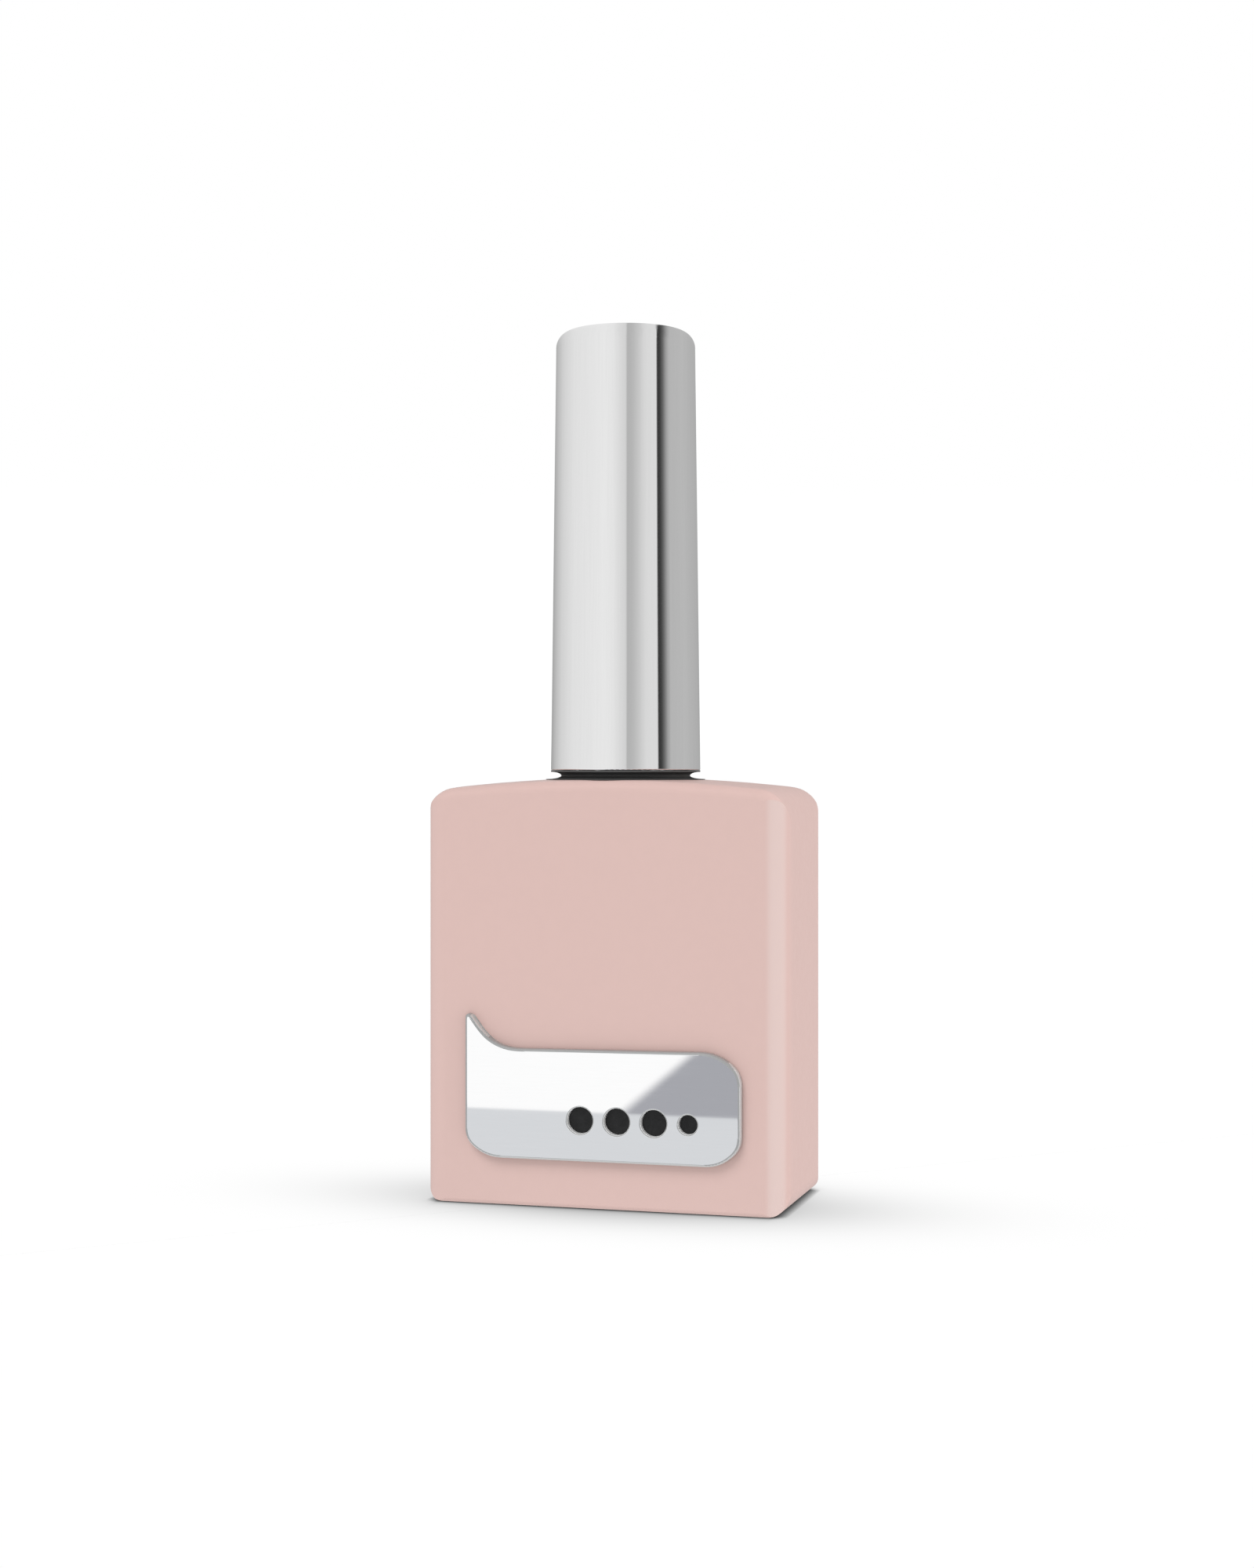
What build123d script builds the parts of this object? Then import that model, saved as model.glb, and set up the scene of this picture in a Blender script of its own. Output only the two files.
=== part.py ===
from build123d import *
import math
import os

# A 15 ml nail polish bottle with a tall screw cap and brush. Millimetres, +Z up,
# origin at the centre of the base, front face towards -Y.

# Glass body
BODY_W = 36.7
BODY_D = 17.3
BODY_CORNER_R = 2.35
SHOULDER_R = 3.1
SHOULDER_EDGE = 1.1
HEEL_R = 1.9
HEEL_EDGE = 0.4
CROWN_Z = 41.9
CROWN_R = 150.0

# Glass neck, a trimmed 13-415 screw finish
NECK_ROOT_R = 5.6
NECK_LIP_Z = 53.0
NECK_BORE_R = 3.75
THREAD_PITCH = 25.4 / 12
MALE_CREST_R = 6.3
MALE_START_Z = 47.2
MALE_TURNS = 1.75
RUN_OUT_DEG = 8.0

# Cavity inside the glass
WALL = 2.0
FLOOR_Z = 4.0
CAVITY_CORNER_R = 1.6
CAVITY_TOP_Z = 39.2

# Paper label, flush in a shallow recess under the base
LABEL_W = 21.0
LABEL_D = 9.0
LABEL_R = 1.2
LABEL_T = 0.15

# Polish and mixing balls
FILL_Z = 33.0
BRUSH_WELL_R = 2.2
BALL_R = 2.0
BALL_X = 9.1
BALL_TRAVEL = 4.0
BALL_CLEARANCE = 0.1

# Black collar ring between the shoulder and the cap
COLLAR_BORE_R = 5.85
COLLAR_FLARE_R = 8.0
COLLAR_WAIST_R = 6.47
COLLAR_WAIST_Z = 42.1
COLLAR_RIM_R = 7.5
COLLAR_RIM_T = 0.16
COLLAR_TOP_Z = 42.63
COLLAR_EDGE_T = 0.07
SEAT_GAP = 0.02

# Metal overcap
CAP_BASE_Z = 42.65
CAP_BASE_R = 7.5
CAP_TOP_Z = 86.6
CAP_TOP_R = 6.98
CAP_EDGE_R = 1.65
CAP_LIP_R = 0.12
CAP_WALL = 0.4
CAP_ROOF_T = 0.6

# Moulded inner cap
INNER_BASE_Z = 42.8
INNER_FIT_GAP = 0.02
INNER_BORE_R = 6.5
FEMALE_CREST_R = 6.35
FEMALE_TURNS = 1.5
INNER_ROOF_Z = 54.0
INNER_ROOF_T = 1.6
BOSS_R = 3.2
BOSS_TOP_Z = 62.0
RIB_COUNT = 6
RIB_T = 0.8
RIB_TOP_Z = 60.0

# Seal washer
WASHER_R = 5.4
WASHER_HOLE_R = 1.75
WASHER_T = 0.96

# Brush
PLUG_R = 2.05
PLUG_TOP_Z = 61.4
STEM_R = 1.6
STEM_TIP_R = 1.45
STEM_TIP_Z = 20.0
TUFT_SOCKET_R = 1.15
TUFT_SOCKET_TOP_Z = 25.2
TUFT_MAX_R = 1.55
TUFT_TIP_Z = 5.4
STAPLE_W = 2.6
STAPLE_T = 0.3
STAPLE_H = 0.9

# Front badge, in face coordinates (x across, z up)
BADGE_LEFT = -13.72
BADGE_RIGHT = 14.08
BADGE_BOTTOM = 4.7
BADGE_TOP = 15.66
BADGE_TAIL_Z = 18.73
BADGE_T = 0.8
BADGE_EDGE = 0.28
GLUE_T = 0.1
GLUE_SCALE = 0.985

# Black enamel inlays in a row of holes through the badge
INLAY_COUNT = 4
INLAY_R = 1.3
INLAY_PITCH = 3.7
INLAY_FIRST_X = -1.9
INLAY_Z = 8.7
LAST_INLAY_R = 0.95
LAST_INLAY_X = 8.9
INLAY_T = 0.12
INLAY_GAP = 0.01
INLAY_RIM_EDGE = 0.14


def on_base(shape, z):
    """Place a shape that starts at z = 0 at height z."""
    return shape.moved(Location((0, 0, z)))


def disc(radius, z_low, z_high):
    """A plain upright cylinder between two heights."""
    return on_base(Cylinder(radius, z_high - z_low, align=(Align.CENTER, Align.CENTER, Align.MIN)), z_low)


def ring(outer_r, inner_r, z_low, z_high):
    """A plain upright tube between two heights."""
    return disc(outer_r, z_low, z_high) - disc(inner_r, z_low - 1, z_high + 1)


def slab(width, depth, corner_r, z_low, z_high):
    """A rounded rectangular block between two heights."""
    outline = Plane.XY.offset(z_low) * RectangleRounded(width, depth, corner_r)
    return extrude(outline, z_high - z_low)


def turned(points):
    """Revolve a closed radius-height outline about the Z axis."""
    return revolve(make_face(Plane.XZ * Polyline(*points, close=True)), Axis.Z)


def crown_ball(radius_step=0.0):
    """The large sphere whose top forms the domed shoulder."""
    return on_base(Sphere(CROWN_R + radius_step), CROWN_Z - CROWN_R)


def helical_ridge(root_r, crest_r, z_start, turns, base_half, crest_half):
    """A trapezoid thread ridge that rises from root_r to crest_r, starting on +X."""
    sink = math.copysign(0.12, root_r - crest_r)
    lead = THREAD_PITCH / (2 * math.pi * root_r)
    start = Plane(origin=(root_r, 0, z_start), x_dir=(1, 0, 0), z_dir=(0, 1, lead))
    outline = Polyline(
        (sink, -base_half),
        (crest_r - root_r, -crest_half),
        (crest_r - root_r, crest_half),
        (sink, base_half),
        close=True,
    )
    path = Helix(pitch=THREAD_PITCH, height=THREAD_PITCH * turns, radius=root_r, center=(0, 0, z_start))
    return sweep(sections=start * make_face(outline), path=path, is_frenet=True)


def run_out(ridge, z, angle):
    """Slope one end of an outside ridge down to the neck; angle is the middle of the slope."""
    cutter = Box(4, 12, THREAD_PITCH * 0.9, align=(Align.MIN, Align.CENTER, Align.CENTER))
    return ridge - Pos(0, 0, z) * Rot(0, 0, angle) * Pos(NECK_ROOT_R + 0.02, 0, 0) * cutter


def body_box(z_low, z_high):
    """A sharp-edged block of the body's width and depth."""
    return on_base(Box(BODY_W, BODY_D, z_high - z_low, align=(Align.CENTER, Align.CENTER, Align.MIN)), z_low)


def rounded_profile(body, z_from, z_to, radius):
    """Round the outline of the front and back faces between two heights."""
    faces = body.faces().sort_by(Axis.Y)
    outline = faces[0].edges() + faces[-1].edges()
    return fillet(outline.filter_by_position(Axis.Z, z_from, z_to), radius)


def shoulder_form():
    """Domed top with wide side shoulders and tighter front and back edges."""
    body = body_box(-5, CROWN_Z + 1) & crown_ball()
    top = body.faces().sort_by(Axis.Z)[-1]
    sides = [edge for edge in top.edges() if abs(edge.center().X) > BODY_W / 2 - 0.5]
    body = fillet(sides, SHOULDER_R)
    return rounded_profile(body, -4.9, CROWN_Z, SHOULDER_EDGE)


def heel_form():
    """Flat base with rounded sides and nearly sharp front and back edges."""
    body = body_box(0, CROWN_Z + 20)
    base = body.faces().sort_by(Axis.Z)[0]
    body = fillet(base.edges().filter_by(Axis.Y), HEEL_R)
    return rounded_profile(body, 0, CROWN_Z + 19.9, HEEL_EDGE)


def glass_outside():
    """Rounded rectangular body with a domed shoulder."""
    return shoulder_form() & heel_form() & slab(BODY_W, BODY_D, BODY_CORNER_R, -5, CROWN_Z + 20)


def glass_cavity():
    """Space inside the body, without the neck bore."""
    cavity = slab(BODY_W - 2 * WALL, BODY_D - 2 * WALL, CAVITY_CORNER_R, FLOOR_Z, CAVITY_TOP_Z)
    return fillet(cavity.edges().filter_by(Plane.XY), CAVITY_CORNER_R * 0.9)


def male_thread():
    """Neck thread with both ends sloped."""
    ridge = helical_ridge(NECK_ROOT_R, MALE_CREST_R, MALE_START_Z, MALE_TURNS, 0.75, 0.3)
    ridge = run_out(ridge, MALE_START_Z, RUN_OUT_DEG)
    return run_out(ridge, MALE_START_Z + THREAD_PITCH * MALE_TURNS, MALE_TURNS * 360 - RUN_OUT_DEG)


def glass_bottle():
    """The bottle: body, neck, thread, cavity and label recess in one glass piece."""
    neck = disc(NECK_ROOT_R, CROWN_Z - 2, NECK_LIP_Z)
    neck = fillet(neck.edges().sort_by(Axis.Z)[-1], 0.5)
    bead = ring(NECK_ROOT_R + 0.2, NECK_ROOT_R - 1, 43.2, 44.0)
    bottle = glass_outside() + neck + bead + male_thread()
    bottle -= glass_cavity()
    bottle -= disc(NECK_BORE_R, CAVITY_TOP_Z - 2, NECK_LIP_Z + 1)
    return bottle - slab(LABEL_W, LABEL_D, LABEL_R, -1, LABEL_T)


def ball_trough(side):
    """The straight run one mixing ball has along the floor."""
    run = Rot(0, 90, 0) * Cylinder(BALL_R + BALL_CLEARANCE, 2 * BALL_TRAVEL)
    ends = Pos(BALL_TRAVEL, 0, 0) * Sphere(BALL_R + BALL_CLEARANCE)
    ends += Pos(-BALL_TRAVEL, 0, 0) * Sphere(BALL_R + BALL_CLEARANCE)
    return Pos(side * BALL_X, 0, FLOOR_Z + BALL_R + 0.02) * (run + ends)


def polish_fill():
    """The polish, open where the brush and the balls are."""
    fill = glass_cavity() & slab(BODY_W, BODY_D, BODY_CORNER_R, FLOOR_Z - 1, FILL_Z)
    fill -= disc(BRUSH_WELL_R, TUFT_TIP_Z - 0.6, FILL_Z + 1)
    return fill - ball_trough(-1) - ball_trough(1)


def mixing_ball(side):
    """A steel mixing ball on the cavity floor."""
    return Pos(side * BALL_X, 0, FLOOR_Z + BALL_R + 0.02) * Sphere(BALL_R)


def neck_collar():
    """Spool-shaped ring: flared foot on the shoulder, narrow waist, thin rim on top."""
    rim_z = COLLAR_TOP_Z - COLLAR_RIM_T
    foot_z = CROWN_Z - COLLAR_FLARE_R ** 2 / (2 * CROWN_R) + COLLAR_EDGE_T
    under_w = COLLAR_RIM_R - COLLAR_WAIST_R
    flare_w = COLLAR_FLARE_R - COLLAR_WAIST_R
    under_h = rim_z - COLLAR_WAIST_Z
    flare_h = COLLAR_WAIST_Z - foot_z
    rim_mid = (COLLAR_RIM_R, COLLAR_WAIST_Z)
    flare_mid = (COLLAR_FLARE_R, COLLAR_WAIST_Z)
    undercut = EllipticalCenterArc(rim_mid, under_w, under_h, start_angle=90, arc_size=90)
    flare = EllipticalCenterArc(flare_mid, flare_w, flare_h, start_angle=180, arc_size=90)
    foot = Polyline((COLLAR_FLARE_R, foot_z), (COLLAR_FLARE_R, 41), (COLLAR_BORE_R, 41))
    bore = Line((COLLAR_BORE_R, 41), (COLLAR_BORE_R, COLLAR_TOP_Z))
    rim = Polyline((COLLAR_BORE_R, COLLAR_TOP_Z), (COLLAR_RIM_R, COLLAR_TOP_Z), (COLLAR_RIM_R, rim_z))
    spool = revolve(Plane.XZ * make_face([undercut, flare, foot, bore, rim]), Axis.Z)
    return spool - crown_ball(SEAT_GAP)


def cap_radius(z):
    """Outside radius of the tapered overcap at height z."""
    taper = (CAP_BASE_R - CAP_TOP_R) / (CAP_TOP_Z - CAP_EDGE_R - CAP_BASE_Z)
    return CAP_BASE_R - taper * (z - CAP_BASE_Z)


def cap_cone(z_low, z_high, inset):
    """A solid with the overcap's taper, inset from its outside."""
    low = (cap_radius(z_low) - inset, z_low)
    high = (cap_radius(z_high) - inset, z_high)
    return turned([(0, z_low), low, high, (0, z_high)])


def overcap():
    """Tall tapered metal shell with a rounded top edge."""
    outside = cap_cone(CAP_BASE_Z, CAP_TOP_Z, 0)
    outside = fillet(outside.edges().sort_by(Axis.Z)[-1], CAP_EDGE_R)
    outside = fillet(outside.edges().sort_by(Axis.Z)[0], CAP_LIP_R)
    inside = cap_cone(CAP_BASE_Z - 1, CAP_TOP_Z - CAP_ROOF_T, CAP_WALL)
    inside = fillet(inside.edges().sort_by(Axis.Z)[-1], CAP_EDGE_R - CAP_WALL)
    return outside - inside


def inner_cap():
    """Black moulded liner: threaded skirt, roof, stem boss and centring ribs."""
    roof_top = INNER_ROOF_Z + INNER_ROOF_T
    shell = cap_cone(INNER_BASE_Z, roof_top, CAP_WALL + INNER_FIT_GAP)
    shell -= disc(INNER_BORE_R, INNER_BASE_Z - 1, INNER_ROOF_Z)
    shell += disc(BOSS_R, roof_top - 0.5, BOSS_TOP_Z)
    rib_l = cap_radius(RIB_TOP_Z) - CAP_WALL - INNER_FIT_GAP
    rib = Box(rib_l, RIB_T, RIB_TOP_Z - roof_top + 0.5, align=(Align.MIN, Align.CENTER, Align.MIN))
    for index in range(RIB_COUNT):
        shell += Rot(0, 0, index * 360 / RIB_COUNT) * Pos(0, 0, roof_top - 0.5) * rib
    shell -= disc(PLUG_R, INNER_ROOF_Z - 1, PLUG_TOP_Z)
    z_start = MALE_START_Z - THREAD_PITCH / 2
    return shell + helical_ridge(INNER_BORE_R, FEMALE_CREST_R, z_start, FEMALE_TURNS, 0.45, 0.25)


def seal_washer():
    """Soft liner that seals the lip, held captive on the stem."""
    z_low = NECK_LIP_Z + SEAT_GAP
    return ring(WASHER_R, WASHER_HOLE_R, z_low, z_low + WASHER_T)


def brush_stem():
    """Plastic stem with a plug at the top and a socket for the tuft at the tip."""
    stem = turned([(0, STEM_TIP_Z), (STEM_TIP_R, STEM_TIP_Z), (STEM_R, STEM_TIP_Z + 12),
                   (STEM_R, INNER_ROOF_Z), (PLUG_R, INNER_ROOF_Z), (PLUG_R, PLUG_TOP_Z), (0, PLUG_TOP_Z)])
    stem -= disc(TUFT_SOCKET_R, STEM_TIP_Z - 1, TUFT_SOCKET_TOP_Z)
    return stem - brush_staple()


def brush_staple():
    """Flat metal anchor that holds the folded tuft in the stem."""
    staple = Box(STAPLE_W, STAPLE_T, STAPLE_H, align=(Align.CENTER, Align.CENTER, Align.MAX))
    return Pos(0, 0, TUFT_SOCKET_TOP_Z) * staple


def brush_bristles():
    """The tuft: narrow in the socket, fuller below, rounded at the tip."""
    top_z = TUFT_SOCKET_TOP_Z - STAPLE_H
    return turned([(0, top_z), (TUFT_SOCKET_R, top_z), (TUFT_SOCKET_R, STEM_TIP_Z),
                   (1.35, STEM_TIP_Z - 2), (TUFT_MAX_R, STEM_TIP_Z - 8), (1.5, TUFT_TIP_Z + 3),
                   (1.2, TUFT_TIP_Z + 1.2), (0.7, TUFT_TIP_Z + 0.3), (0, TUFT_TIP_Z)])


def badge_outline():
    """Rounded plate whose top edge sweeps up into a pointed tail on the left."""
    tip_dir = (0.6, -0.8)
    top_rise = 0.01
    top_left = (-7.5, BADGE_TOP - 17.8 * top_rise)
    tip = Spline((BADGE_LEFT, 18.3), (-13.47, BADGE_TAIL_Z), (-13.1, 18.6), tangents=[(0, 1), tip_dir])
    swoosh = Spline((-13.1, 18.6), (-11.1, 16.35), (-9.6, 15.67), top_left, tangents=[tip_dir, (1, top_rise)])
    top = Line(top_left, (9.95, BADGE_TOP))
    right_dirs = [(1, top_rise), (0, -1)]
    high_right = Spline((9.95, BADGE_TOP), (12.87, 14.73), (BADGE_RIGHT, 12.45), tangents=right_dirs)
    right = Line((BADGE_RIGHT, 12.45), (BADGE_RIGHT, 7.7))
    low_right = Spline((BADGE_RIGHT, 7.7), (13.03, 5.58), (10.5, BADGE_BOTTOM), tangents=[(0, -1), (-1, 0)])
    bottom = Line((10.5, BADGE_BOTTOM), (-9.9, BADGE_BOTTOM))
    low_left = Spline((-9.9, BADGE_BOTTOM), (-12.6, 5.52), (BADGE_LEFT, 7.55), tangents=[(-1, 0), (0, 1)])
    left = Line((BADGE_LEFT, 7.55), (BADGE_LEFT, 18.3))
    return make_face([tip, swoosh, top, high_right, right, low_right, bottom, low_left, left])


def face_plane(proud):
    """Plane of the front face, moved out by proud; its Z axis points to the viewer."""
    return Plane(origin=(0, -BODY_D / 2 - proud, 0), x_dir=(1, 0, 0), z_dir=(0, -1, 0))


def inlay_circle(index, gap):
    """Outline of one inlay hole, made smaller by gap."""
    if index == INLAY_COUNT - 1:
        return Pos(LAST_INLAY_X, INLAY_Z) * Circle(LAST_INLAY_R - gap)
    return Pos(INLAY_FIRST_X + index * INLAY_PITCH, INLAY_Z) * Circle(INLAY_R - gap)


def badge_plate():
    """Mirror-finished nameplate with holes for the inlays and rounded front edges."""
    plate = extrude(face_plane(GLUE_T) * badge_outline(), BADGE_T)
    plate = fillet(plate.faces().sort_by(Axis.Y)[0].edges(), BADGE_EDGE)
    for index in range(INLAY_COUNT):
        plate -= extrude(face_plane(GLUE_T) * inlay_circle(index, 0), BADGE_T)
    rims = plate.faces().sort_by(Axis.Y)[0].edges().filter_by(GeomType.CIRCLE)
    return fillet(rims, INLAY_RIM_EDGE)


def badge_adhesive():
    """Adhesive film between the glass and the plate, a little smaller than the plate."""
    shrink = 1 - GLUE_SCALE
    middle = Pos(shrink * (BADGE_LEFT + BADGE_RIGHT) / 2, shrink * (BADGE_BOTTOM + BADGE_TOP) / 2)
    return extrude(face_plane(0) * middle * scale(badge_outline(), GLUE_SCALE), GLUE_T)


def badge_inlay(index):
    """One round black inlay, sunk at the bottom of its hole."""
    return extrude(face_plane(GLUE_T) * inlay_circle(index, INLAY_GAP), INLAY_T)


def base_label():
    """Blank paper label under the base."""
    return slab(LABEL_W, LABEL_D, LABEL_R, 0, LABEL_T)


def build_all():
    """Every sub-part by node name."""
    return {
        "glass_bottle": glass_bottle(),
        "polish_fill": polish_fill(),
        "mixing_ball_left": mixing_ball(-1),
        "mixing_ball_right": mixing_ball(1),
        "neck_collar": neck_collar(),
        "seal_washer": seal_washer(),
        "inner_cap": inner_cap(),
        "overcap": overcap(),
        "brush_stem": brush_stem(),
        "brush_staple": brush_staple(),
        "brush_bristles": brush_bristles(),
        "badge_plate": badge_plate(),
        "badge_adhesive": badge_adhesive(),
        "badge_inlay_1": badge_inlay(0),
        "badge_inlay_2": badge_inlay(1),
        "badge_inlay_3": badge_inlay(2),
        "badge_inlay_4": badge_inlay(3),
        "base_label": base_label(),
    }


os.makedirs("parts", exist_ok=True)
for node_name, node_shape in build_all().items():
    node_shape.label = node_name
    export_step(node_shape, f"parts/{node_name}.step")
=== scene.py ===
import bpy
import math
import random
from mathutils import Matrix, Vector


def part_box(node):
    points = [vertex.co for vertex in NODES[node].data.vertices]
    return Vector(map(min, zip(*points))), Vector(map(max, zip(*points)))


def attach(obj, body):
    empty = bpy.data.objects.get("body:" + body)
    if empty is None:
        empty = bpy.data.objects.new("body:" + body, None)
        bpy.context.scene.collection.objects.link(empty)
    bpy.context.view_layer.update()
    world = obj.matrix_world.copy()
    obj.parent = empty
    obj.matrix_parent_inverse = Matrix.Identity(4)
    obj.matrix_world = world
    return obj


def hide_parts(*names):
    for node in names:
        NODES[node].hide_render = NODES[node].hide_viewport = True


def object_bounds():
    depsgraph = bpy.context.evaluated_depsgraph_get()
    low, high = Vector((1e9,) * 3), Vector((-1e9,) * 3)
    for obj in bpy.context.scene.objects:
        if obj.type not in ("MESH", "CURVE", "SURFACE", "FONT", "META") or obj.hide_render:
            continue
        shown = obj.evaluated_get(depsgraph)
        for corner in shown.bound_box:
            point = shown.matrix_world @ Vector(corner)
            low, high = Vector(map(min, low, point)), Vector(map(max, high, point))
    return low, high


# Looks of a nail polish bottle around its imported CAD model. Metres, +Z up, badge towards -Y.

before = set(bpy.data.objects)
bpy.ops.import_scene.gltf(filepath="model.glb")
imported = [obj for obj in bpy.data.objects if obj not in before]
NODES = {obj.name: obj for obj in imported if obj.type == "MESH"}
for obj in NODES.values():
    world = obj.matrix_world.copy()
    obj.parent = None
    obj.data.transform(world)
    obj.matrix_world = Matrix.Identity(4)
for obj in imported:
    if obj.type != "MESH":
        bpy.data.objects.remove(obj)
cad_low, cad_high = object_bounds()
MM = 0.001

# Levels of the soft studio, in scene-linear light
FLOOR_LEVEL = 1.005
BOUNCE_LEVEL = 1.08
HORIZON_LEVEL = 1.07
ZENITH_LEVEL = 0.45

# Lamps: strength, and azimuth, elevation and spread in degrees
KEY_STRENGTH = 1.5
KEY_FROM = (-20, 50)
KEY_SPREAD = 34
SIDE_STRENGTH = 1.8
SIDE_FROM = (105, 15)
SIDE_SPREAD = 60
SIDE_COLOUR = (1.0, 0.96, 0.95)

# Painted soft shadow on the table: centre and half axes of the ellipse, depth and how fast it fades
SHADOW_CENTRE = (1.0 * MM, -3.1 * MM)
SHADOW_SPAN = (52.8 * MM, 25.7 * MM)
SHADOW_DEPTH = 0.60
SHADOW_FALL = 5.5

# Painted darker line where the bottle meets the table
CONTACT_REACH = 0.8 * MM
RIM_SHADE = 0.60
FRONT_FADE = 0.8 * MM
SIDE_FADE = 0.6 * MM
HEEL = 1.5 * MM

# Shared colours, scene-linear
PINK = (0.582, 0.413, 0.382)
PINK_DEEP = (0.576, 0.409, 0.378)
# Paler pink painted along the front-right corner: a painted highlight
PINK_PAINTED_HIGHLIGHT = (0.610, 0.473, 0.444)
BLACK = (0.0075, 0.0075, 0.0078)
BLACK_SOFT = (0.012, 0.012, 0.0125)
COLLAR_DARK = (0.064, 0.064, 0.064)
COLLAR_LIGHT = (0.070, 0.070, 0.070)

# Painted highlight on the rounded corner: where it faces, and how squarely a spot must face that way
HIGHLIGHT_AZIMUTH = 36.0
HIGHLIGHT_FACING = (0.86, 0.995)

# Parts of the glass: how deep the lacquered walls are, the floor, the dome and the foot of the neck
COAT_DEPTH = 1.7 * MM
FLOOR_TOP = 3.9 * MM
DOME_FROM = 39.4 * MM
DOME_TO = 41.9 * MM
NECK_FOOT_R = 5.62 * MM

# Polish on the stem ends between these heights, give or take the wobble
FILM_FULL = 32.6 * MM
FILM_END = 33.4 * MM
FILM_WOBBLE = 1.4 * MM

# Camera
CAMERA_AZIMUTH = 16.0
CAMERA_DISTANCE = 246.45 * MM
CAMERA_HEIGHT = 43.22 * MM
CAMERA_LENS = 56.34
CAMERA_SHIFT = (0.00085, -0.0125)


# ---------------------------------------------------------------- node helpers

def new_material(name):
    """A material with its node tree, its Principled node and a shared object-space coordinate."""
    made = bpy.data.materials.new(name)
    made.use_nodes = True
    tree = made.node_tree
    coords = tree.nodes.new("ShaderNodeTexCoord")
    return made, tree, tree.nodes["Principled BSDF"], coords.outputs["Object"]


def set_inputs(node, **values):
    """Set sockets by name, with underscores for spaces."""
    for name, value in values.items():
        node.inputs[name.replace("_", " ")].default_value = value


def rgba(colour):
    """A colour with full alpha."""
    return (colour[0], colour[1], colour[2], 1.0)


def stretched(tree, coords, scale, centre=(0, 0, 0)):
    """Object coordinates scaled by axis, away from a centre."""
    mapping = tree.nodes.new("ShaderNodeMapping")
    mapping.inputs["Scale"].default_value = scale
    mapping.inputs["Location"].default_value = [-c * s for c, s in zip(centre, scale)]
    tree.links.new(coords, mapping.inputs["Vector"])
    return mapping.outputs["Vector"]


def noise(tree, vector, scale, detail=3.0, roughness=0.55):
    """Noise texture factor; scale is in features per metre."""
    node = tree.nodes.new("ShaderNodeTexNoise")
    set_inputs(node, Scale=scale, Detail=detail, Roughness=roughness)
    tree.links.new(vector, node.inputs["Vector"])
    return node.outputs["Fac"]


def spread(tree, factor, low, high):
    """Map the middle of a noise factor onto a range."""
    node = tree.nodes.new("ShaderNodeMapRange")
    set_inputs(node, From_Min=0.3, From_Max=0.7, To_Min=low, To_Max=high)
    tree.links.new(factor, node.inputs["Value"])
    return node.outputs["Result"]


def two_tone(tree, factor, dark, light, low=0.35, high=0.65):
    """Colour ramp between two close colours."""
    ramp = tree.nodes.new("ShaderNodeValToRGB")
    ramp.color_ramp.elements[0].position = low
    ramp.color_ramp.elements[0].color = rgba(dark)
    ramp.color_ramp.elements[1].position = high
    ramp.color_ramp.elements[1].color = rgba(light)
    tree.links.new(factor, ramp.inputs["Fac"])
    return ramp.outputs["Color"]


def paint(tree, shader, factor, dark, light, low=0.35, high=0.65):
    """Let the base colour vary between two close colours."""
    tree.links.new(two_tone(tree, factor, dark, light, low, high), shader.inputs["Base Color"])


def roughen(tree, shader, factor, low, high):
    """Let the roughness vary between two values."""
    tree.links.new(spread(tree, factor, low, high), shader.inputs["Roughness"])


def add_bump(tree, shader, height, distance):
    """Feed a bump of a real height, in metres, into the shader's normal."""
    bump = tree.nodes.new("ShaderNodeBump")
    set_inputs(bump, Distance=distance, Strength=1.0)
    tree.links.new(height, bump.inputs["Height"])
    tree.links.new(bump.outputs["Normal"], shader.inputs["Normal"])


def film_mask(tree, coords):
    """Factor that goes from 1 to 0 where the polish on the stem ends, with an uneven edge."""
    split = tree.nodes.new("ShaderNodeSeparateXYZ")
    tree.links.new(coords, split.inputs["Vector"])
    level = tree.nodes.new("ShaderNodeMath")
    level.operation = "MULTIPLY_ADD"
    level.inputs[1].default_value = FILM_WOBBLE
    tree.links.new(noise(tree, coords, 900.0, 2.0), level.inputs[0])
    tree.links.new(split.outputs["Z"], level.inputs[2])
    node = tree.nodes.new("ShaderNodeMapRange")
    node.interpolation_type = "SMOOTHSTEP"
    set_inputs(node, From_Min=FILM_FULL, From_Max=FILM_END, To_Min=1.0, To_Max=0.0)
    tree.links.new(level.outputs["Value"], node.inputs["Value"])
    return node.outputs["Result"]


def corner_highlight_mask(tree):
    """Factor that rises to 1 along the rounded corner between the front and the right-hand face, where a
    highlight is painted.
    """
    coords = tree.nodes.new("ShaderNodeTexCoord")
    facing = tree.nodes.new("ShaderNodeVectorMath")
    facing.operation = "DOT_PRODUCT"
    turn = math.radians(HIGHLIGHT_AZIMUTH)
    facing.inputs[1].default_value = (math.sin(turn), -math.cos(turn), 0)
    node = tree.nodes.new("ShaderNodeMapRange")
    node.interpolation_type = "SMOOTHSTEP"
    set_inputs(node, From_Min=HIGHLIGHT_FACING[0], From_Max=HIGHLIGHT_FACING[1], To_Min=0.0, To_Max=1.0)
    tree.links.new(coords.outputs["Normal"], facing.inputs[0])
    tree.links.new(facing.outputs["Value"], node.inputs["Value"])
    return node.outputs["Result"]


def mix_colour(tree, factor, first, second):
    """Mix a colour socket with another one, or with a plain colour, by a factor that varies."""
    node = tree.nodes.new("ShaderNodeMix")
    node.data_type = "RGBA"
    tree.links.new(factor, node.inputs["Factor"])
    tree.links.new(first, node.inputs["A"])
    if isinstance(second, tuple):
        node.inputs["B"].default_value = rgba(second)
    else:
        tree.links.new(second, node.inputs["B"])
    return node.outputs["Result"]


# ---------------------------------------------------------------- materials

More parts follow.
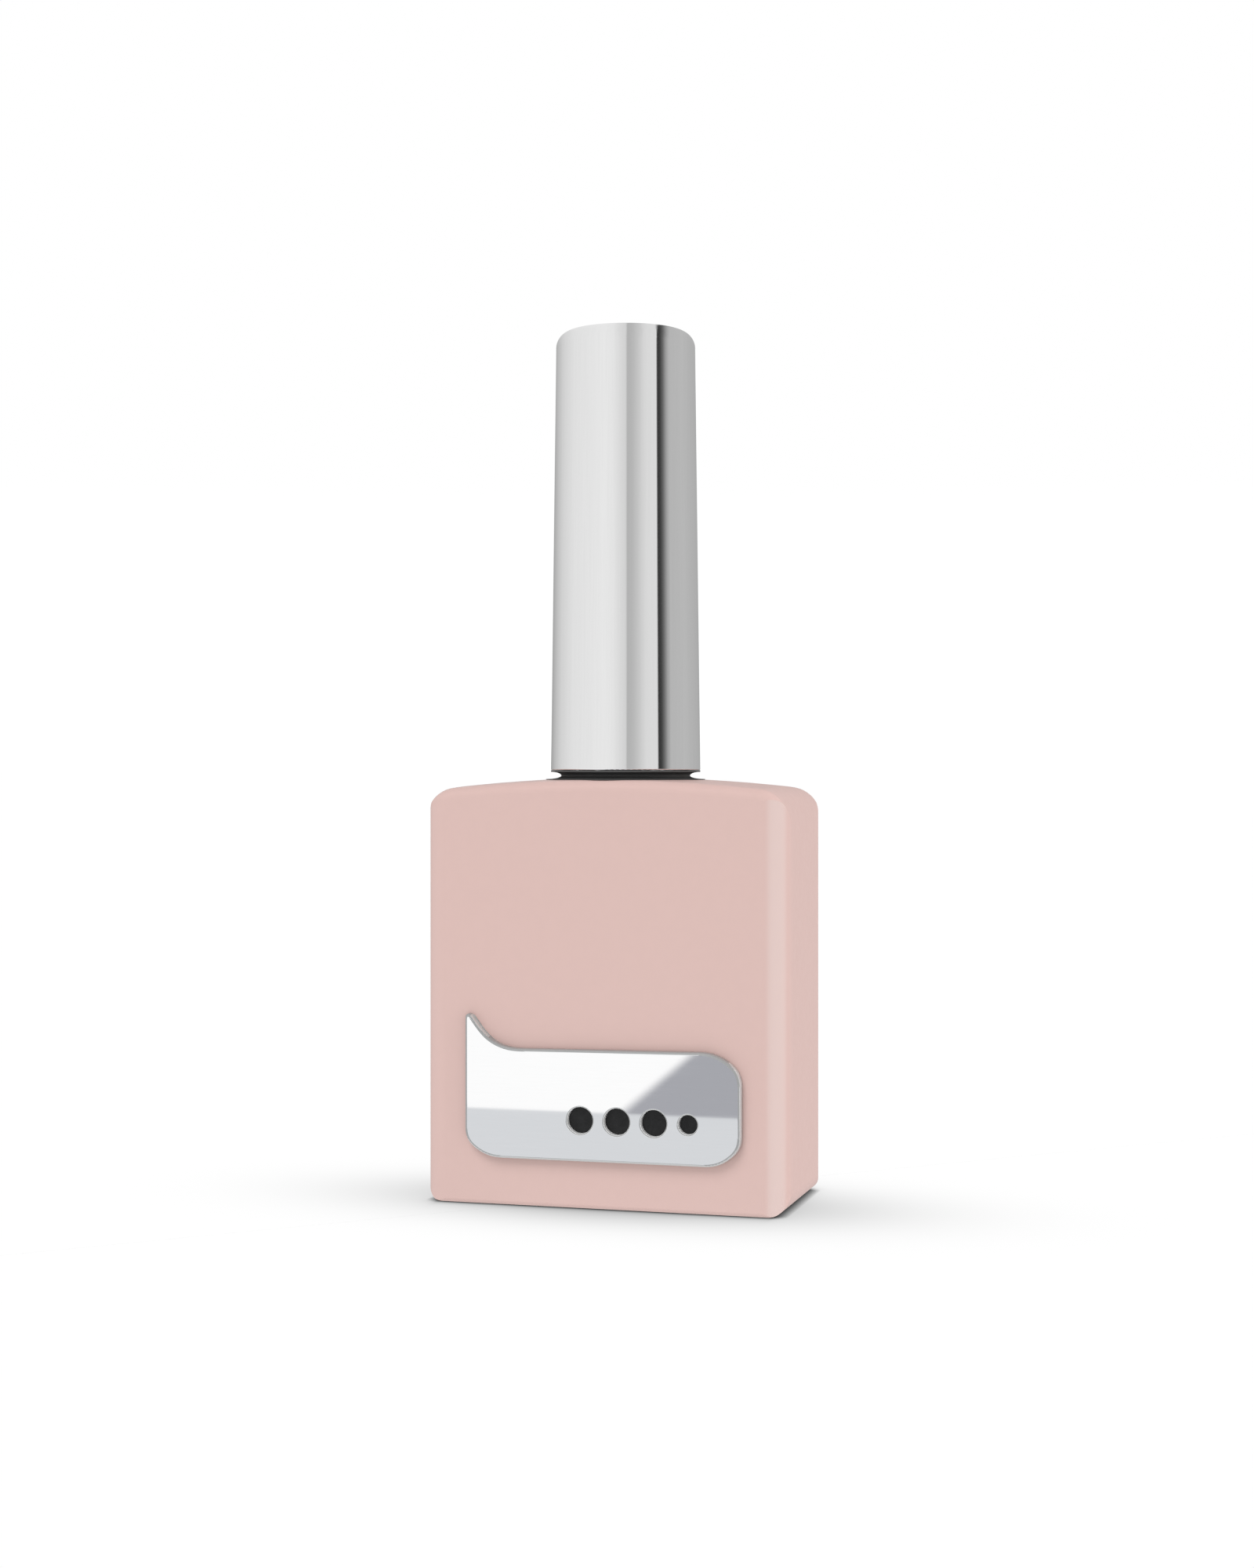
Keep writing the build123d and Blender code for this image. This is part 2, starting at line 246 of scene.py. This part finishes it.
def lacquer_material():
    """Satin sprayed lacquer: faint pigment mottle, fine orange peel and a paler painted highlight on one
    corner.
    """
    made, tree, shader, coords = new_material("lacquer_pink_satin")
    set_inputs(shader, IOR=1.47, Specular_IOR_Level=0.22)
    pigment = noise(tree, coords, 900.0, 4.0)
    mottled_lacquer = two_tone(tree, pigment, PINK_DEEP, PINK)
    # The front-right corner is mixed towards a paler pink: a painted highlight
    tree.links.new(mix_colour(tree, corner_highlight_mask(tree), mottled_lacquer, PINK_PAINTED_HIGHLIGHT), shader.inputs["Base Color"])
    roughen(tree, shader, noise(tree, coords, 1500.0), 0.33, 0.40)
    add_bump(tree, shader, noise(tree, coords, 1100.0, 2.0), 0.000004)
    return made


def glass_material():
    """Clear flint glass of the uncoated neck, with slight mould waviness."""
    made, tree, shader, coords = new_material("glass_clear_neck")
    set_inputs(shader, Transmission_Weight=1.0, IOR=1.5)
    waves = noise(tree, coords, 300.0, 2.0)
    paint(tree, shader, waves, (0.955, 0.975, 0.968), (0.985, 0.992, 0.990))
    roughen(tree, shader, noise(tree, coords, 900.0), 0.01, 0.05)
    add_bump(tree, shader, waves, 0.00003)
    return made


def polish_material():
    """Glossy liquid colour with a little settled pigment."""
    made, tree, shader, coords = new_material("polish_liquid_pink")
    set_inputs(shader, IOR=1.5)
    swirl = noise(tree, stretched(tree, coords, (1.0, 1.0, 0.4)), 240.0, 5.0)
    paint(tree, shader, swirl, (0.47, 0.300, 0.275), (0.54, 0.368, 0.338))
    roughen(tree, shader, noise(tree, coords, 500.0), 0.06, 0.12)
    return made


def cap_metal_material():
    """Bright anodised shell: near mirror, with faint drawn lines along its length."""
    made, tree, shader, coords = new_material("cap_bright_silver")
    set_inputs(shader, Metallic=1.0)
    lines = noise(tree, stretched(tree, coords, (1.0, 1.0, 0.01)), 5200.0, 4.0)
    paint(tree, shader, lines, (0.915, 0.915, 0.915), (0.93, 0.93, 0.93))
    roughen(tree, shader, lines, 0.045, 0.065)
    return made


def badge_face_material():
    """Mirror plating on the badge's face, with hairline polishing marks."""
    made, tree, shader, coords = new_material("badge_mirror_face")
    set_inputs(shader, Metallic=1.0)
    marks = noise(tree, stretched(tree, coords, (0.05, 1.0, 1.0)), 6000.0, 4.0)
    paint(tree, shader, marks, (0.962, 0.963, 0.965), (0.972, 0.972, 0.974))
    roughen(tree, shader, marks, 0.02, 0.035)
    return made


def badge_edge_material(name, dark, light):
    """Satin nickel for the edges of the badge."""
    made, tree, shader, coords = new_material(name)
    set_inputs(shader, Metallic=0.3)
    grain = noise(tree, coords, 14000.0, 3.0)
    paint(tree, shader, grain, dark, light)
    roughen(tree, shader, grain, 0.27, 0.30)
    return made


def enamel_material():
    """Black enamel, slightly dished and glossy."""
    made, tree, shader, coords = new_material("enamel_black")
    set_inputs(shader, IOR=1.45, Specular_IOR_Level=0.3)
    flow = noise(tree, coords, 1400.0, 2.0)
    paint(tree, shader, flow, BLACK, BLACK_SOFT)
    roughen(tree, shader, flow, 0.25, 0.35)
    add_bump(tree, shader, flow, 0.00002)
    return made


def black_plastic_material(name, dark, light, rough, grain_scale, grain_height):
    """Moulded black polypropylene with a fine moulding grain."""
    made, tree, shader, coords = new_material(name)
    set_inputs(shader, IOR=1.46, Specular_IOR_Level=0.3)
    grain = noise(tree, coords, grain_scale, 3.0)
    paint(tree, shader, grain, dark, light)
    roughen(tree, shader, grain, rough - 0.06, rough + 0.06)
    add_bump(tree, shader, grain, grain_height)
    return made


def liner_material():
    """Soft white foamed liner with small cells."""
    made, tree, shader, coords = new_material("liner_white_foam")
    cells = noise(tree, coords, 5200.0, 4.0, 0.7)
    paint(tree, shader, cells, (0.74, 0.74, 0.71), (0.87, 0.87, 0.85))
    roughen(tree, shader, cells, 0.5, 0.7)
    add_bump(tree, shader, cells, 0.00004)
    return made


def steel_material():
    """Tumbled stainless steel with fine scratches."""
    made, tree, shader, coords = new_material("steel_tumbled")
    set_inputs(shader, Metallic=1.0)
    scratches = noise(tree, stretched(tree, coords, (1.0, 0.25, 1.0)), 8000.0, 5.0, 0.7)
    paint(tree, shader, scratches, (0.56, 0.565, 0.57), (0.66, 0.665, 0.67))
    roughen(tree, shader, scratches, 0.12, 0.24)
    return made


def wet_stem_material():
    """Black stem, coated with polish up to the fill line."""
    made, tree, shader, coords = new_material("stem_black_wet")
    set_inputs(shader, IOR=1.48)
    streaks = noise(tree, stretched(tree, coords, (1.0, 1.0, 0.15)), 1600.0, 4.0)
    dry = two_tone(tree, streaks, BLACK, BLACK_SOFT)
    wet = two_tone(tree, streaks, (0.42, 0.262, 0.238), (0.53, 0.36, 0.33))
    tree.links.new(mix_colour(tree, film_mask(tree, coords), dry, wet), shader.inputs["Base Color"])
    roughen(tree, shader, streaks, 0.12, 0.24)
    add_bump(tree, shader, streaks, 0.00004)
    return made


def filament_material():
    """Dark nylon filaments, mostly coated with polish."""
    made, tree, shader, coords = new_material("filament_nylon_wet")
    set_inputs(shader, IOR=1.5)
    strands = noise(tree, stretched(tree, coords, (1.0, 1.0, 0.08)), 6500.0, 4.0, 0.65)
    paint(tree, shader, strands, (0.10, 0.055, 0.048), (0.53, 0.355, 0.325), 0.34, 0.56)
    roughen(tree, shader, strands, 0.18, 0.34)
    return made


def adhesive_material():
    """Grey foam adhesive film."""
    made, tree, shader, coords = new_material("adhesive_film_grey")
    cells = noise(tree, coords, 6000.0, 3.0)
    paint(tree, shader, cells, (0.30, 0.29, 0.28), (0.42, 0.41, 0.40))
    roughen(tree, shader, cells, 0.5, 0.65)
    return made


def paper_material():
    """Blank coated label paper with a faint fibre."""
    made, tree, shader, coords = new_material("label_paper_blank")
    fibre = noise(tree, stretched(tree, coords, (1.0, 0.2, 1.0)), 5000.0, 5.0, 0.7)
    paint(tree, shader, fibre, (0.78, 0.78, 0.75), (0.87, 0.87, 0.85))
    roughen(tree, shader, fibre, 0.5, 0.62)
    add_bump(tree, shader, fibre, 0.00001)
    return made


# ---------------------------------------------------------------- CAD nodes

def finish_node(name, *materials):
    """Give a CAD node its materials; the first one covers every face."""
    mesh = NODES[name].data
    mesh.materials.clear()
    for made in materials:
        mesh.materials.append(made)
    for face in mesh.polygons:
        face.material_index = 0


def coat_bottle():
    """Lacquer on the outside of the body; clear glass on the neck and the inner walls."""
    finish_node("glass_bottle", lacquer_material(), glass_material())
    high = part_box("glass_bottle")[1]
    for face in NODES["glass_bottle"].data.polygons:
        middle = face.center
        side = abs(middle.x) > high.x - COAT_DEPTH or abs(middle.y) > high.y - COAT_DEPTH
        base = middle.z < FLOOR_TOP
        dome = DOME_FROM < middle.z < DOME_TO and math.hypot(middle.x, middle.y) > NECK_FOOT_R
        face.material_index = 0 if side or base or dome else 1


def in_a_hole(point, holes):
    """True on the walls of the holes round the inlays."""
    for low, high in holes:
        away = math.hypot(point.x - (low.x + high.x) / 2, point.z - (low.z + high.z) / 2)
        if away < (high.x - low.x) / 2 + 0.04 * MM:
            return True
    return False


def plate_badge():
    """Mirror on the flat face of the badge, nickel on its edges in a painted shaded copy and a painted lit
    copy, and hole walls painted bright as a painted highlight.
    """
    # Three copies of one nickel finish that differ only in colour: painted shade on the edges, painted
    # light on faces turned right or down, painted highlight on the hole walls
    edge = badge_edge_material("badge_nickel_painted_shade", (0.325, 0.33, 0.33), (0.335, 0.34, 0.34))
    side = badge_edge_material("badge_nickel_painted_light", (0.555, 0.565, 0.56), (0.57, 0.58, 0.575))
    cut = badge_edge_material("badge_cut_painted_light", (0.955, 0.955, 0.955), (0.965, 0.965, 0.965))
    finish_node("badge_plate", badge_face_material(), edge, side, cut)
    holes = [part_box(f"badge_inlay_{index}") for index in range(1, 5)]
    for face in NODES["badge_plate"].data.polygons:
        if in_a_hole(face.center, holes):
            face.material_index = 3
        # Edge faces turned right or down take the lighter copy, the rest the darker one: light and shade
        # painted by facing
        elif face.normal.y > -0.995:
            bright = face.normal.x > 0.6 or face.normal.z < -0.3
            face.material_index = 2 if bright else 1


def dress_nodes():
    """A procedural finish for every CAD node that stays visible."""
    steel = steel_material()
    enamel = enamel_material()
    coat_bottle()
    plate_badge()
    finish_node("polish_fill", polish_material())
    finish_node("mixing_ball_left", steel)
    finish_node("mixing_ball_right", steel)
    finish_node("brush_staple", steel)
    collar = black_plastic_material("collar_black_satin", COLLAR_DARK, COLLAR_LIGHT, 0.5, 4200.0, 0.000006)
    inner = black_plastic_material("inner_cap_black", BLACK, BLACK_SOFT, 0.42, 3000.0, 0.00001)
    finish_node("neck_collar", collar)
    finish_node("inner_cap", inner)
    finish_node("seal_washer", liner_material())
    finish_node("overcap", cap_metal_material())
    finish_node("brush_stem", wet_stem_material())
    finish_node("badge_adhesive", adhesive_material())
    finish_node("base_label", paper_material())
    for index in range(1, 5):
        finish_node(f"badge_inlay_{index}", enamel)


# ---------------------------------------------------------------- brush tuft

# Height and radius down the tuft, in millimetres
TUFT_PROFILE = [
    (21.5, 1.02), (20.0, 1.06), (18.0, 1.26), (15.0, 1.38),
    (12.0, 1.47), (8.4, 1.42), (7.0, 1.30), (5.4, 1.10),
]
TUFT_TIP = 5.5
TUFT_TIP_RISE = 2.3
FILAMENT_COUNT = 260
FILAMENT_R = 0.055
FILAMENT_SIDES = 6
FILAMENT_RINGS = 12
GOLDEN_ANGLE = 2.39996


def tuft_radius(z):
    """Radius of the tuft at height z, in millimetres."""
    for (z_high, r_high), (z_low, r_low) in zip(TUFT_PROFILE, TUFT_PROFILE[1:]):
        if z >= z_low:
            share = (z - z_low) / (z_high - z_low)
            return r_low + (r_high - r_low) * share
    return TUFT_PROFILE[-1][1]


def filament_line(share, angle, rng):
    """Centre line of one filament, from the socket to its tip."""
    z_top = TUFT_PROFILE[0][0]
    z_tip = TUFT_TIP + TUFT_TIP_RISE * share ** 2 + rng.uniform(0.0, 0.12)
    sway = rng.uniform(-0.06, 0.06)
    phase = rng.uniform(0.0, 2 * math.pi)
    line = []
    for step in range(FILAMENT_RINGS):
        along = step / (FILAMENT_RINGS - 1)
        z = z_top + (z_tip - z_top) * along
        turn = angle + sway * math.sin(phase + 3.0 * along) * along
        reach = share * tuft_radius(z)
        line.append(Vector((reach * math.cos(turn), reach * math.sin(turn), z)) * MM)
    return line


def add_tube(line, radius, vertices, faces):
    """Append a capped tube along a nearly vertical line."""
    start = len(vertices)
    for step, point in enumerate(line):
        taper = 0.6 if step == len(line) - 1 else 1.0
        for side in range(FILAMENT_SIDES):
            angle = 2 * math.pi * side / FILAMENT_SIDES
            offset = Vector((math.cos(angle), math.sin(angle), 0)) * radius * taper
            vertices.append(point + offset)
    for step in range(len(line) - 1):
        for side in range(FILAMENT_SIDES):
            a = start + step * FILAMENT_SIDES + side
            b = start + step * FILAMENT_SIDES + (side + 1) % FILAMENT_SIDES
            faces.append((a, a + FILAMENT_SIDES, b + FILAMENT_SIDES, b))
    last = start + (len(line) - 1) * FILAMENT_SIDES
    faces.append(tuple(start + side for side in range(FILAMENT_SIDES)))
    faces.append(tuple(last + side for side in reversed(range(FILAMENT_SIDES))))


def make_tuft():
    """The brush tuft as separate filaments in a sunflower packing."""
    rng = random.Random(7)
    vertices, faces = [], []
    for index in range(FILAMENT_COUNT):
        share = math.sqrt((index + 0.5) / FILAMENT_COUNT)
        line = filament_line(share, index * GOLDEN_ANGLE, rng)
        add_tube(line, FILAMENT_R * MM, vertices, faces)
    mesh = bpy.data.meshes.new("brush_filaments")
    mesh.from_pydata(vertices, [], faces)
    mesh.polygons.foreach_set("use_smooth", [len(face) == 4 for face in faces])
    mesh.materials.append(filament_material())
    tuft = bpy.data.objects.new("brush_filaments", mesh)
    bpy.context.scene.collection.objects.link(tuft)
    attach(tuft, "cap")
    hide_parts("brush_bristles")


# ---------------------------------------------------------------- studio

def stage_mesh(name, vertices, faces, material):
    """A mesh of the studio, which isn't part of the object."""
    mesh = bpy.data.meshes.new(name)
    mesh.from_pydata(vertices, [], faces)
    mesh.materials.append(material)
    made = bpy.data.objects.new(name, mesh)
    bpy.context.scene.collection.objects.link(made)
    return made


def flat_sheet(name, corners, height, material):
    """A level stage sheet with the given corners."""
    return stage_mesh(name, [(x, y, height) for x, y in corners], [(0, 1, 2, 3)], material)


def rectangle(x_low, x_high, y_low, y_high):
    """Corners of a rectangle, anticlockwise seen from above."""
    return [(x_low, y_low), (x_high, y_low), (x_high, y_high), (x_low, y_high)]


def only_in_reflections(stage_object):
    """Show a stage object to glossy rays and to nothing else."""
    stage_object.visible_camera = False
    stage_object.visible_diffuse = False
    stage_object.visible_transmission = False
    stage_object.visible_volume_scatter = False
    stage_object.visible_shadow = False


def glow_material(name):
    """An emission material with its tree and emission node."""
    made = bpy.data.materials.new(name)
    made.use_nodes = True
    tree = made.node_tree
    tree.nodes.clear()
    out = tree.nodes.new("ShaderNodeOutputMaterial")
    glow = tree.nodes.new("ShaderNodeEmission")
    tree.links.new(glow.outputs["Emission"], out.inputs["Surface"])
    return made, tree, glow


def math_step(tree, operation, value, amount=None):
    """One math node fed by a socket."""
    node = tree.nodes.new("ShaderNodeMath")
    node.operation = operation
    tree.links.new(value, node.inputs[0])
    if amount is not None:
        node.inputs[1].default_value = amount
    return node.outputs["Value"]


def fading(tree, value, rate):
    """Exponential fall of a value that grows outwards."""
    return math_step(tree, "EXPONENT", math_step(tree, "MULTIPLY", value, -rate))


def past_edge(tree, coordinate, edge, fade):
    """How far a coordinate lies outside plus or minus an edge, in fade lengths."""
    outside = math_step(tree, "SUBTRACT", math_step(tree, "ABSOLUTE", coordinate), edge)
    return math_step(tree, "DIVIDE", math_step(tree, "MAXIMUM", outside, 0.0), fade)


def make_floor():
    """Evenly lit white table with a painted soft shadow round the foot of the bottle."""
    made, tree, glow = glow_material("floor_white")
    coords = tree.nodes.new("ShaderNodeTexCoord")
    scale = (1 / SHADOW_SPAN[0], 1 / SHADOW_SPAN[1], 1.0)
    ellipse = stretched(tree, coords.outputs["Object"], scale, (*SHADOW_CENTRE, 0.0))
    reach = tree.nodes.new("ShaderNodeVectorMath")
    reach.operation = "DOT_PRODUCT"
    tree.links.new(ellipse, reach.inputs[0])
    tree.links.new(ellipse, reach.inputs[1])
    fall = fading(tree, reach.outputs["Value"], SHADOW_FALL)
    lit = math_step(tree, "MULTIPLY", fall, -SHADOW_DEPTH * FLOOR_LEVEL)
    lit = math_step(tree, "ADD", lit, FLOOR_LEVEL)
    split = tree.nodes.new("ShaderNodeSeparateXYZ")
    tree.links.new(coords.outputs["Object"], split.inputs["Vector"])
    past_side = past_edge(tree, split.outputs["X"], cad_high.x - HEEL, SIDE_FADE)
    past_front = past_edge(tree, split.outputs["Y"], cad_high.y, FRONT_FADE)
    both = tree.nodes.new("ShaderNodeMath")
    tree.links.new(past_side, both.inputs[0])
    tree.links.new(past_front, both.inputs[1])
    rim = fading(tree, both.outputs["Value"], 1.0)
    rim = math_step(tree, "ADD", math_step(tree, "MULTIPLY", rim, -RIM_SHADE), 1.0)
    shaded = tree.nodes.new("ShaderNodeMath")
    shaded.operation = "MULTIPLY"
    tree.links.new(lit, shaded.inputs[0])
    tree.links.new(rim, shaded.inputs[1])
    near = tree.nodes.new("ShaderNodeAmbientOcclusion")
    near.samples = 12
    near.inputs["Distance"].default_value = CONTACT_REACH
    tree.links.new(near.outputs["Color"], glow.inputs["Color"])
    tree.links.new(shaded.outputs["Value"], glow.inputs["Strength"])
    floor = flat_sheet("floor", rectangle(-20, 20, -20, 20), 0, made)
    floor.visible_diffuse = False
    floor.visible_glossy = False


def make_bounce():
    """Even white just under the table, which lights the object from below and isn't seen."""
    made, tree, glow = glow_material("floor_bounce")
    glow.inputs["Strength"].default_value = BOUNCE_LEVEL
    bounce = flat_sheet("floor_bounce", rectangle(-20, 20, -20, 20), -0.2 * MM, made)
    bounce.visible_camera = False
    bounce.visible_glossy = False
    bounce.visible_shadow = False


# Brightness round the reflected studio: degrees to the right of the camera, and level
WALL_LEVELS = [
    (-180, 0.34), (-155, 0.42), (-144, 0.50), (-118, 0.69), (-90, 0.80), (-50, 0.84), (-34, 0.86),
    (-19, 0.83), (-8, 0.74), (0, 0.69), (2.5, 0.475), (10, 0.50), (18, 0.58), (26, 0.68), (33, 0.745),
    (50, 0.755), (51.5, 0.03), (57, 0.055), (62, 0.15), (68, 0.36), (74, 0.49), (104, 0.51),
    (126, 0.475), (156, 0.43), (180, 0.34),
]
BADGE_FRONT = -9.5 * MM
WALL_RADIUS = 0.9
WALL_COLUMNS = 720
WALL_ROWS = 120


def strip_angle(azimuth, elevation):
    """Which strip a direction belongs to, in degrees; the strips lean over and meet behind the camera."""
    flat = math.cos(elevation)
    return math.degrees(2 * math.atan2(math.sin(azimuth) * flat, 1 + math.cos(azimuth) * flat))


def wall_level(degrees):
    """Level of the wall at an angle, with straight runs between the listed angles."""
    for (a, low), (b, high) in zip(WALL_LEVELS, WALL_LEVELS[1:]):
        if degrees <= b:
            return low + (high - low) * (degrees - a) / (b - a)
    return WALL_LEVELS[-1][1]


def make_wall():
    """A round shell of soft strips, seen only in reflections."""
    made, tree, glow = glow_material("studio_wall")
    level = tree.nodes.new("ShaderNodeAttribute")
    level.attribute_name = "level"
    tree.links.new(level.outputs["Fac"], glow.inputs["Strength"])
    vertices, levels, faces = [], [], []
    for row in range(WALL_ROWS + 1):
        elevation = math.pi * (row / WALL_ROWS - 0.5)
        flat = WALL_RADIUS * math.cos(elevation)
        for column in range(WALL_COLUMNS):
            azimuth = math.radians(column * 360 / WALL_COLUMNS - 180)
            turn = math.radians(CAMERA_AZIMUTH) + azimuth
            height = WALL_RADIUS * math.sin(elevation)
            vertices.append((flat * math.sin(turn), -flat * math.cos(turn), height))
            levels.append(wall_level(strip_angle(azimuth, elevation)))
    for row in range(WALL_ROWS):
        for column in range(WALL_COLUMNS):
            a = row * WALL_COLUMNS + column
            b = row * WALL_COLUMNS + (column + 1) % WALL_COLUMNS
            faces.append((a, b, b + WALL_COLUMNS, a + WALL_COLUMNS))
    wall = stage_mesh("studio_wall", vertices, faces, made)
    wall.data.attributes.new("level", "FLOAT", "POINT").data.foreach_set("value", levels)
    only_in_reflections(wall)


def reflection_card(name, corners, height, colour, direction, fade_between):
    """A card on the table, seen in reflections; it fades in along a direction, between two distances."""
    made, tree, glow = glow_material(name)
    mix = tree.nodes.new("ShaderNodeMixShader")
    clear = tree.nodes.new("ShaderNodeBsdfTransparent")
    glow.inputs["Color"].default_value = rgba(colour)
    coords = tree.nodes.new("ShaderNodeTexCoord")
    across = tree.nodes.new("ShaderNodeVectorMath")
    across.operation = "DOT_PRODUCT"
    across.inputs[1].default_value = direction
    fade = tree.nodes.new("ShaderNodeMapRange")
    fade.interpolation_type = "SMOOTHSTEP"
    set_inputs(fade, From_Min=fade_between[0], From_Max=fade_between[1], To_Min=0.0, To_Max=1.0)
    tree.links.new(coords.outputs["Object"], across.inputs[0])
    tree.links.new(across.outputs["Value"], fade.inputs["Value"])
    tree.links.new(fade.outputs["Result"], mix.inputs["Fac"])
    tree.links.new(clear.outputs["BSDF"], mix.inputs[1])
    tree.links.new(glow.outputs["Emission"], mix.inputs[2])
    tree.links.new(mix.outputs["Shader"], tree.nodes["Material Output"].inputs["Surface"])
    only_in_reflections(flat_sheet(name, corners, height, made))


def make_cards():
    """Three cards on the table in front of the badge, which its mirror face shows."""
    ahead = (0, -1, 0)
    table = rectangle(-0.3, 0.3, -0.9, BADGE_FRONT)
    reflection_card("card_table", table, 0.2 * MM, (FLOOR_LEVEL,) * 3, ahead, (0.0, 0.005))
    near = rectangle(-0.2, 0.2, -0.0725, BADGE_FRONT)
    reflection_card("card_near", near, 0.5 * MM, (0.680, 0.695, 0.717), (0, 1, 0), (-0.0720, -0.0690))
    far = [(-0.045, -0.24), (0.12, -0.24), (0.12, -0.068), (-0.02, -0.068)]
    reflection_card("card_far", far, 0.4 * MM, (0.388, 0.393, 0.425), (1, -0.113, 0), (-0.0088, -0.0062))


def make_lamp(name, strength, spread, arrives_from, receivers):
    """A soft sun that lights only the receiving collection, from an azimuth and elevation in degrees."""
    data = bpy.data.lights.new(name, "SUN")
    data.energy = strength
    data.angle = math.radians(spread)
    lamp = bpy.data.objects.new(name, data)
    bpy.context.scene.collection.objects.link(lamp)
    lamp.visible_camera = False
    lamp.visible_glossy = False
    lamp.light_linking.receiver_collection = receivers
    a, e = (math.radians(angle) for angle in arrives_from)
    source = Vector((math.sin(a) * math.cos(e), -math.cos(a) * math.cos(e), math.sin(e)))
    lamp.rotation_mode = "QUATERNION"
    lamp.rotation_quaternion = source.to_track_quat("Z", "Y")
    return lamp


def make_sky():
    """Sky light that falls off towards the zenith, and plain white where the camera sees it."""
    world = bpy.data.worlds.new("studio")
    world.use_nodes = True
    tree = world.node_tree
    sky = tree.nodes["Background"]
    sky.inputs["Color"].default_value = (1, 1, 1, 1)
    ray = tree.nodes.new("ShaderNodeTexCoord")
    up = tree.nodes.new("ShaderNodeSeparateXYZ")
    level = tree.nodes.new("ShaderNodeMapRange")
    set_inputs(level, From_Min=0.0, From_Max=1.0, To_Min=HORIZON_LEVEL, To_Max=ZENITH_LEVEL)
    tree.links.new(ray.outputs["Generated"], up.inputs["Vector"])
    tree.links.new(up.outputs["Z"], level.inputs["Value"])
    seen = tree.nodes.new("ShaderNodeLightPath")
    brighter = tree.nodes.new("ShaderNodeMath")
    brighter.operation = "MAXIMUM"
    tree.links.new(level.outputs["Result"], brighter.inputs[0])
    tree.links.new(seen.outputs["Is Camera Ray"], brighter.inputs[1])
    tree.links.new(brighter.outputs["Value"], sky.inputs["Strength"])
    bpy.context.scene.world = world


def make_lights():
    """A key from the upper left and a fill on the right-hand side, for the object alone."""
    parts = bpy.data.collections.new("lit_parts")
    for node in NODES.values():
        parts.objects.link(node)
    parts.objects.link(bpy.data.objects["brush_filaments"])
    make_lamp("key_upper_left", KEY_STRENGTH, KEY_SPREAD, KEY_FROM, parts)
    fill = make_lamp("fill_right", SIDE_STRENGTH, SIDE_SPREAD, SIDE_FROM, parts)
    fill.data.color = SIDE_COLOUR


def make_camera():
    """Level camera at the height of the shoulder, turned to the right of the front."""
    data = bpy.data.cameras.new("camera")
    data.lens = CAMERA_LENS
    data.sensor_width = 36.0
    data.shift_x, data.shift_y = CAMERA_SHIFT
    data.clip_start = 0.005
    data.clip_end = 100.0
    camera = bpy.data.objects.new("camera", data)
    bpy.context.scene.collection.objects.link(camera)
    turn = math.radians(CAMERA_AZIMUTH)
    camera.location = (CAMERA_DISTANCE * math.sin(turn), -CAMERA_DISTANCE * math.cos(turn), CAMERA_HEIGHT)
    camera.rotation_euler = (math.radians(90), 0, turn)
    bpy.context.scene.camera = camera


dress_nodes()
make_tuft()
make_floor()
make_bounce()
make_wall()
make_cards()
make_sky()
make_lights()
make_camera()

scene = bpy.context.scene
scene.view_settings.view_transform = "Standard"
scene.view_settings.look = "None"
